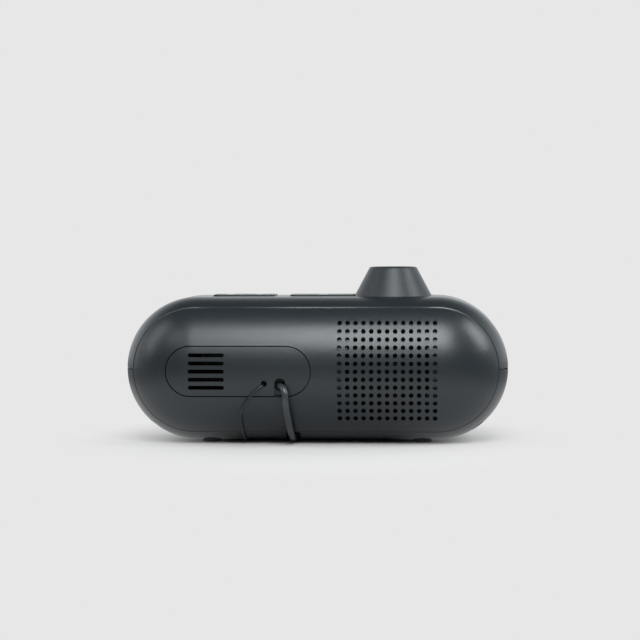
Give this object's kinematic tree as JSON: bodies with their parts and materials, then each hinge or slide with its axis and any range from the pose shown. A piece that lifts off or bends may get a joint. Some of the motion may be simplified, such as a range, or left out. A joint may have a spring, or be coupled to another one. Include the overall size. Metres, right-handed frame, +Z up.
{
  "type": "projection alarm clock",
  "caption": "Pill-shaped bedside alarm clock with a rounded back, sound holes, a vent panel, a turning projector on top and a power lead and antenna wire.",
  "frame": {"origin": "on the ground under the middle of the case", "axes": "+X along the width, -Y out of the display, +Y out of the rounded back, +Z up"},
  "size_m": [0.195, 0.1302, 0.0892],
  "materials": {
    "case": "satin",
    "panel": "satin",
    "projector": "satin",
    "keys": "satin",
    "inner_plastic": "matt",
    "window": "gloss",
    "rubber": "matt",
    "cord": "satin",
    "steel": "satin",
    "board": "satin",
    "chips": "matt",
    "anodised": "satin",
    "black_steel": "satin",
    "glass": "clear",
    "lcd": "gloss",
    "led": "clear",
    "segment_lit": "lit",
    "segment_dark": "satin",
    "paper": "matt",
    "copper": "satin",
    "felt": "matt"
  },
  "bodies": {
    "clock": {"top_cover": "case", "bottom_cover": "case", "rear_shell": "case", "case_screws": "steel", "front_screws": "steel", "board_screws": "steel", "feet": "rubber", "vent_panel": "panel", "front_bezel": "inner_plastic", "display_window": "window", "digit_block": "inner_plastic", "lit_segments": "segment_lit", "dark_segments": "segment_dark", "display_board": "board", "key_frame": "keys", "key_board": "board", "key_switches": "chips", "friction_washer": "felt", "speaker_baffle": "case", "speaker_frame": "black_steel", "speaker_magnet": "black_steel", "voice_coil": "copper", "speaker_paper": "paper", "speaker_surround": "rubber", "dust_cap": "paper", "speaker_screws": "steel", "main_board": "board", "board_chips": "chips", "tuner_can": "steel", "capacitors": "chips", "heat_sink": "anodised", "coin_cell": "steel", "cell_contact": "steel", "battery_door": "case", "door_screw": "steel", "power_lead": "cord", "antenna_wire": "cord", "cord_clamp": "inner_plastic", "lead_coil": "cord", "antenna_coil": "cord", "lead_tie": "rubber", "power_plug": "cord", "plug_shell": "steel"},
    "head": {"projector_cone": "projector", "projector_tube": "inner_plastic", "projector_screws": "steel", "condenser_lens": "glass", "lcd_frame": "inner_plastic", "time_lcd": "lcd", "led_board": "board", "projector_led": "led"},
    "focus": {"focus_ring": "inner_plastic"},
    "lens": {"lens_cell": "inner_plastic", "projection_lens": "glass"},
    "alarm_key_body": {"alarm_key": "keys"},
    "time_key_body": {"time_key": "keys"},
    "plus_key_body": {"plus_key": "keys"},
    "minus_key_body": {"minus_key": "keys"},
    "snooze_bar_body": {"snooze_bar": "keys"}
  },
  "joints": [
    {"name": "alarm_key_press", "type": "slide", "parent": "clock", "child": "alarm_key_body", "axis": [0, 0, -1], "range_m": [0, 0.0005], "stiffness_N_per_m": 900, "springref_m": -0.0004},
    {"name": "time_key_press", "type": "slide", "parent": "clock", "child": "time_key_body", "axis": [0, 0, -1], "range_m": [0, 0.0005], "stiffness_N_per_m": 900, "springref_m": -0.0004},
    {"name": "plus_key_press", "type": "slide", "parent": "clock", "child": "plus_key_body", "axis": [0, 0, -1], "range_m": [0, 0.0005], "stiffness_N_per_m": 900, "springref_m": -0.0004},
    {"name": "minus_key_press", "type": "slide", "parent": "clock", "child": "minus_key_body", "axis": [0, 0, -1], "range_m": [0, 0.0005], "stiffness_N_per_m": 900, "springref_m": -0.0004},
    {"name": "snooze_bar_press", "type": "slide", "parent": "clock", "child": "snooze_bar_body", "axis": [0, 0, -1], "range_m": [0, 0.0008], "stiffness_N_per_m": 900, "springref_m": -0.0004},
    {"name": "projector_turn", "type": "hinge", "parent": "clock", "child": "head", "pos_m": [-0.0388, -0.011, 0.0812], "axis": [0, 0, 1], "range_deg": [-90, 90]},
    {"name": "focus_turn", "type": "hinge", "parent": "head", "child": "focus", "pos_m": [-0.0388, -0.011, 0.0852], "axis": [0, 0, 1], "range_deg": [-135, 135]},
    {"name": "lens_travel", "type": "slide", "parent": "head", "child": "lens", "axis": [0, 0, 1], "range_m": [-0.0009, 0.0009]}
  ],
  "couplings": [
    {"joint": "focus_turn", "follows": "lens_travel", "rad_per_m": 2617.8}
  ]
}
